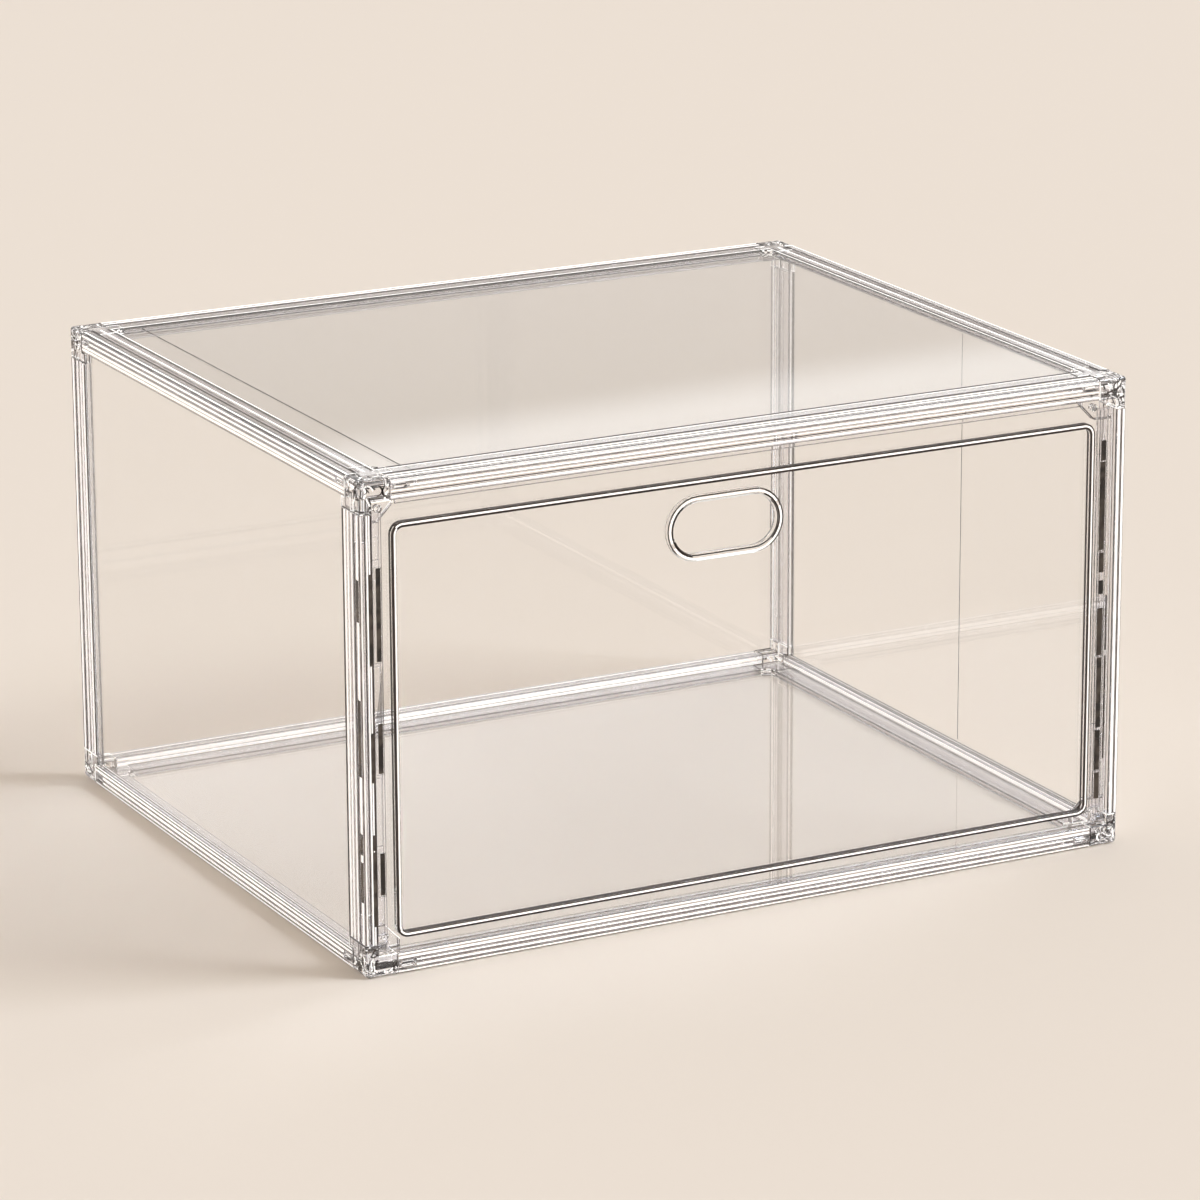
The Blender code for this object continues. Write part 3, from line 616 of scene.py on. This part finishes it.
def lip_path(inset):
    """A closed outline at an inset from the lip's outer edge: x, z and the side that each point is on."""
    radius = max(LIP_RADIUS - inset, LIP_LEAST_RADIUS)
    path = []
    for quarter, (right, up) in enumerate(((1, 1), (-1, 1), (-1, -1), (1, -1))):
        centre = ((LIP_HIGH if right > 0 else LIP_LOW)[0] - right * (inset + radius),
                  (LIP_HIGH if up > 0 else LIP_LOW)[1] - up * (inset + radius))
        for count in range(LIP_STEPS + 1):
            turn = math.pi / 2 * (quarter + count / LIP_STEPS)
            steep = abs(math.sin(turn)) > abs(math.cos(turn)) - LIP_DIAGONAL
            side = ("top" if up > 0 else "bottom") if steep else ("right" if right > 0 else "left")
            path.append((centre[0] + radius * math.cos(turn), centre[1] + radius * math.sin(turn), side))
    return path


def lip_side(first, second):
    """The side of the lip that a stretch of its outline is on, from the stretch's two ends."""
    wide = abs(first[0] - second[0]) > LIP_RADIUS
    tall = abs(first[1] - second[1]) > LIP_RADIUS
    if wide:
        return "bottom" if min(first[1], second[1]) < (LIP_LOW[1] + LIP_HIGH[1]) / 2 else "top"
    if tall:
        return "left" if first[0] < 0 else "right"
    return second[2]


def draw_lip_lines(line_paints):
    """Lines of painted shade and painted highlight round the raised lip of the door."""
    bm = bmesh.new()
    for inset, (front, back), width, sides, tone in LIP_LINES:
        outer = lip_path(inset - width / 2)
        inner = lip_path(inset + width / 2)
        for index in range(len(outer)):
            if lip_side(outer[index - 1], outer[index]) in sides:
                ends = ((outer[index - 1], inner[index - 1]), (outer[index], inner[index]))
                bar(bm, [[(a[0], front, a[1]), (b[0], front, b[1]), (b[0], back, b[1]), (a[0], back, a[1])]
                         for a, b in ends], LINE_TONES.index(tone))
    add_piece("door_lip_lines", bm, line_paints, "door")


def ring_path(middle, up, half):
    """The middle line of the finger ring: the centre of each point's round end and the way out from it."""
    path = []
    for count in range(FINGER_STEPS * 2 + 2):
        turn = math.pi * (count - (count > FINGER_STEPS)) / FINGER_STEPS - math.pi / 2
        side = 1 if count <= FINGER_STEPS else -1
        path.append((middle + side * half, up, math.cos(turn), math.sin(turn)))
    return path


def draw_finger_ring(line_paints):
    """Lines of painted shade and painted highlight round the bead of the finger hole."""
    bm = bmesh.new()
    middle, up, half, round_radius = FINGER_HOLE
    path = ring_path(middle, up, half)
    for offset, width, front, (lean_x, lean_z, reach), tone in FINGER_LINES:
        for first, second in zip(path, path[1:] + path[:1]):
            lean = first[2] * lean_x + first[3] * lean_z + second[2] * lean_x + second[3] * lean_z
            if lean < reach * 2:
                continue
            ends = []
            for x, z, right, high in (first, second):
                near, far = (round_radius + offset + part * width / 2 for part in (-1, 1))
                section = ((far, front), (near, front), (near, front + LINE_SUNK), (far, front + LINE_SUNK))
                ends.append([(x + right * out, depth, z + high * out) for out, depth in section])
            bar(bm, ends, LINE_TONES.index(tone))
    add_piece("door_finger_ring_lines", bm, line_paints, "door")


def draw_score_lines(line_paints):
    """A grey line of painted shade at the bottom of the score groove of the right sheet and of the top sheet.
    """
    for name, (axis, place), (depth_axis, depth, back), along, width in SCORES:
        low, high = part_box(name)
        bm = bmesh.new()
        ends = []
        for run in (low[along] + SCORE_END, high[along] - SCORE_END):
            loop = []
            for across, level in ((-1, depth), (1, depth), (1, back), (-1, back)):
                point = [run, run, run]
                point[axis] = place + across * width / 2
                point[depth_axis] = level
                loop.append(point)
            ends.append(loop)
        bar(bm, ends, GREY)
        add_piece(name + "_score_line", bm, line_paints, "case")


def draw_window_shade():
    """Dark bars of painted shade in the windows of the stiles and, where these show through the plastic, on
    the left post.
    """
    painted_window_shade = line_material("painted_window_shade")
    for name, side, rows in WINDOW_SHADE_BARS:
        bm = bmesh.new()
        for inset, width, depth, spans in rows:
            edges = [side * (cad_bounds[1][0] - inset) + half * width / 2 for half in (-1, 1)]
            for low, high in spans:
                bar(bm, [[(edges[0], depth, z), (edges[1], depth, z), (edges[1], depth + SHADE_BAR_DEPTH, z),
                          (edges[0], depth + SHADE_BAR_DEPTH, z)] for z in (low, high)], 0)
        add_piece(name, bm, [painted_window_shade], "door")
    bm = bmesh.new()
    for face, inset, width, spans in POST_SHADE_BARS:
        for span in spans:
            surface_bar(bm, "front_left_post", face, inset, width, span, SHADE_BAR_PROUD, 0)
    add_piece("front_left_post_painted_shade", bm, [painted_window_shade], "case")


def draw_lines():
    """All the drawn lines of painted shade and painted highlight: on rails, posts, connectors, door and
    sheets.
    """
    line_paints = [line_material(tone) for tone in LINE_TONES]
    pick = random.Random(CURL_SEED)
    for name in sorted(frame["nodes"]):
        words = name.split("_")
        if words[-1] == "corner":
            draw_corner_curls(name, line_paints, pick)
            draw_connector_edges(name, line_paints, pick)
        elif words[-1] == "post":
            draw_member_lines(name, LEFT_POST_LINES if words[1] == "left" else RIGHT_POST_LINES, line_paints)
        elif words[-1] == "rail":
            draw_member_lines(name, RAIL_LINES[words[0], words[1] in ("front", "back")], line_paints)
    draw_lip_lines(line_paints)
    draw_finger_ring(line_paints)
    draw_score_lines(line_paints)
    draw_window_shade()


def make_floor():
    """A wide pale floor that fills the view."""
    bm = bmesh.new()
    bmesh.ops.create_grid(bm, x_segments=FLOOR_CELLS, y_segments=FLOOR_CELLS, size=FLOOR_HALF)
    mesh = bpy.data.meshes.new("floor")
    bm.to_mesh(mesh)
    bm.free()
    floor = bpy.data.objects.new("floor", mesh)
    floor.location.z = -FLOOR_DROP
    bpy.context.scene.collection.objects.link(floor)
    material = bpy.data.materials.new("floor_paper")
    material.use_nodes = True
    shader = material.node_tree.nodes["Principled BSDF"]
    shader.inputs["Base Color"].default_value = FLOOR_COLOUR
    shader.inputs["Roughness"].default_value = FLOOR_ROUGHNESS
    floor.data.materials.append(material)


def compass(azimuth, elevation):
    """The direction at an azimuth clockwise from the back of the box and an elevation, in degrees."""
    turn = math.radians(azimuth)
    rise = math.radians(elevation)
    return Vector((math.sin(turn) * math.cos(rise), math.cos(turn) * math.cos(rise), math.sin(rise)))


def dot(tree, direction, vector):
    """A node socket with the dot product of the sky direction and a fixed vector."""
    made = tree.nodes.new("ShaderNodeVectorMath")
    made.operation = "DOT_PRODUCT"
    tree.links.new(direction, made.inputs[0])
    made.inputs[1].default_value = vector
    return made.outputs["Value"]


def step(tree, value, low, high):
    """A node socket that rises smoothly from 0 to 1 as value goes from low to high."""
    made = tree.nodes.new("ShaderNodeMapRange")
    made.interpolation_type = "SMOOTHSTEP"
    made.inputs["From Min"].default_value = low
    made.inputs["From Max"].default_value = high
    tree.links.new(value, made.inputs["Value"])
    return made.outputs["Result"]


def times(tree, first, second):
    """A node socket with the product of two."""
    made = tree.nodes.new("ShaderNodeMath")
    made.operation = "MULTIPLY"
    tree.links.new(first, made.inputs[0])
    tree.links.new(second, made.inputs[1])
    return made.outputs["Value"]


def sky_panel(tree, direction, azimuth, elevation, half_width, half_height, tilt, softness):
    """How far a sky direction lies inside a softbox or flag of given half angles, from 0 to 1."""
    centre = compass(azimuth, elevation)
    across = compass(azimuth + 90, 0)
    above = compass(azimuth, elevation + 90)
    lean = math.radians(tilt)
    across, above = (across * math.cos(lean) + above * math.sin(lean),
                     above * math.cos(lean) - across * math.sin(lean))
    inside = None
    for axis, half in ((across, half_width), (above, half_height)):
        for side in (-1, 1):
            edge = centre * math.sin(math.radians(half)) + axis * side * math.cos(math.radians(half))
            share = step(tree, dot(tree, direction, edge), -softness, softness)
            inside = share if inside is None else times(tree, inside, share)
    return inside


def make_studio():
    """A studio dome: a dim surround, backdrop, reflector, softboxes above and beside, and a dark flag."""
    world = bpy.data.worlds.new("studio")
    world.use_nodes = True
    tree = world.node_tree
    direction = tree.nodes.new("ShaderNodeTexCoord").outputs["Generated"]
    colour = None
    for name, panel, level in STUDIO:
        mix = tree.nodes.new("ShaderNodeMix")
        mix.name = name
        mix.data_type = "RGBA"
        mix.inputs[7].default_value = (*level, 1)
        if colour is None:
            mix.inputs[6].default_value = (*level, 1)
        else:
            tree.links.new(colour, mix.inputs[6])
            tree.links.new(sky_panel(tree, direction, *panel), mix.inputs[0])
        colour = mix.outputs[2]
    tree.links.new(colour, tree.nodes["Background"].inputs["Color"])
    bpy.context.scene.world = world


make_camera()
dress_frame()
draw_lines()
make_floor()
make_studio()

scene = bpy.context.scene
scene.view_settings.view_transform = "Standard"
scene.cycles.blur_glossy = 0
scene.cycles.max_bounces = LIGHT_STEPS
scene.cycles.transmission_bounces = LIGHT_STEPS
scene.cycles.glossy_bounces = MIRROR_STEPS
bpy.context.view_layer.update()
